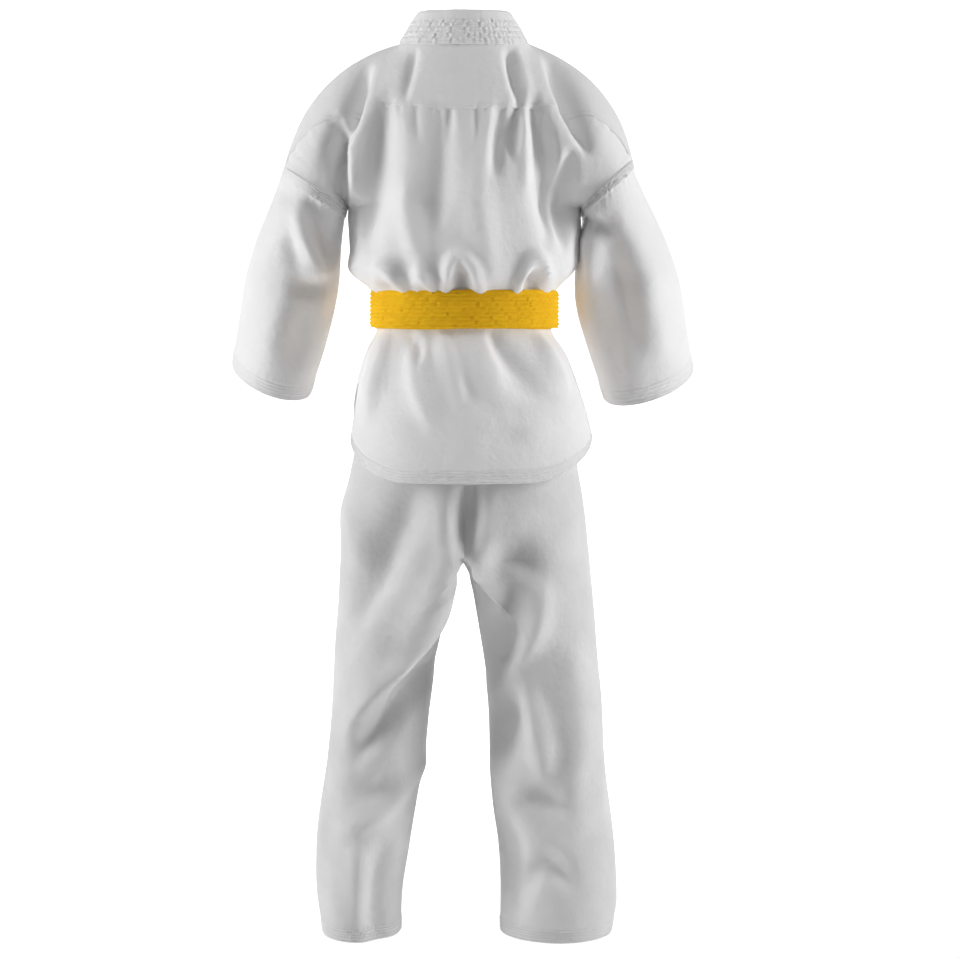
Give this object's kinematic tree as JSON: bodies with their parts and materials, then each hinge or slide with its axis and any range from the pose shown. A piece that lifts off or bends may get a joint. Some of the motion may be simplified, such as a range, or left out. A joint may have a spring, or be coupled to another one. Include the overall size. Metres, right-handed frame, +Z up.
{
  "type": "martial arts uniform",
  "caption": "White cotton martial arts uniform: wrap jacket with stitched collar and lapel band, quilted yellow belt tied at the front, and straight trousers, shaped as if worn.",
  "frame": {"origin": "the middle of the neck base, where the wearer's shoulders or a hanger carry the jacket", "axes": "+Z up along the body, +X towards the wearer's left, the wearer faces -Y"},
  "size_m": [0.487, 0.22, 0.9718],
  "materials": {
    "jacket_cloth": "white cotton drill, fine twill weave",
    "quilted_band": "white cotton drill, folded and stitched in close rows",
    "trouser_cloth": "white cotton drill, fine twill weave",
    "belt": "yellow cotton belting, stitched in close rows along its length"
  },
  "bodies": {
    "jacket": {"jacket_back": "jacket_cloth", "back_yoke": "jacket_cloth", "back_hem_facing": "quilted_band", "vent_facing_left": "quilted_band", "vent_facing_right": "quilted_band", "jacket_front_left": "jacket_cloth", "jacket_front_right": "jacket_cloth", "front_hem_facing_left": "quilted_band", "front_hem_facing_right": "quilted_band", "collar_neck_band": "quilted_band", "lapel_left": "quilted_band", "lapel_right": "quilted_band", "armhole_band_left": "quilted_band", "armhole_band_right": "quilted_band", "belt_inner_wrap": "belt", "belt_outer_wrap": "belt", "belt_knot": "belt"},
    "left_sleeve": {"sleeve_left": "jacket_cloth", "cuff_facing_left": "quilted_band"},
    "right_sleeve": {"sleeve_right": "jacket_cloth", "cuff_facing_right": "quilted_band"},
    "left_belt_end": {"belt_end_left": "belt"},
    "right_belt_end": {"belt_end_right": "belt"},
    "trousers": {"trouser_waistband": "trouser_cloth", "trouser_seat_left": "trouser_cloth", "trouser_seat_right": "trouser_cloth", "crotch_gusset": "trouser_cloth", "hip_fold_left": "trouser_cloth", "hip_fold_right": "trouser_cloth"},
    "left_leg": {"trouser_leg_left": "trouser_cloth", "leg_hem_facing_left": "trouser_cloth"},
    "right_leg": {"trouser_leg_right": "trouser_cloth", "leg_hem_facing_right": "trouser_cloth"}
  },
  "joints": [
    {"name": "left_shoulder_lift", "type": "hinge", "parent": "jacket", "child": "left_sleeve", "pos_m": [0.176, 0, -0.118], "axis": [0, -1, 0], "range_deg": [0, 75], "deforming": ["armhole_band_left"]},
    {"name": "right_shoulder_lift", "type": "hinge", "parent": "jacket", "child": "right_sleeve", "pos_m": [-0.176, 0, -0.118], "axis": [0, 1, 0], "range_deg": [0, 75], "deforming": ["armhole_band_right"]},
    {"name": "left_belt_end_swing", "type": "hinge", "parent": "jacket", "child": "left_belt_end", "pos_m": [0.026, -0.0851, -0.2971], "axis": [-1, 0, 0], "range_deg": [0, 70]},
    {"name": "right_belt_end_swing", "type": "hinge", "parent": "jacket", "child": "right_belt_end", "pos_m": [-0.026, -0.0851, -0.2971], "axis": [-1, 0, 0], "range_deg": [0, 70]},
    {"name": "trousers_lift_off", "type": "slide", "parent": "jacket", "child": "trousers", "axis": [0, 0, -1], "range_m": [0, 0.25]},
    {"name": "left_hip_swing", "type": "hinge", "parent": "trousers", "child": "left_leg", "pos_m": [0.072, 0, -0.55], "axis": [-1, 0, 0], "range_deg": [-15, 25], "deforming": ["hip_fold_left"]},
    {"name": "right_hip_swing", "type": "hinge", "parent": "trousers", "child": "right_leg", "pos_m": [-0.072, 0, -0.55], "axis": [-1, 0, 0], "range_deg": [-15, 25], "deforming": ["hip_fold_right"]}
  ]
}
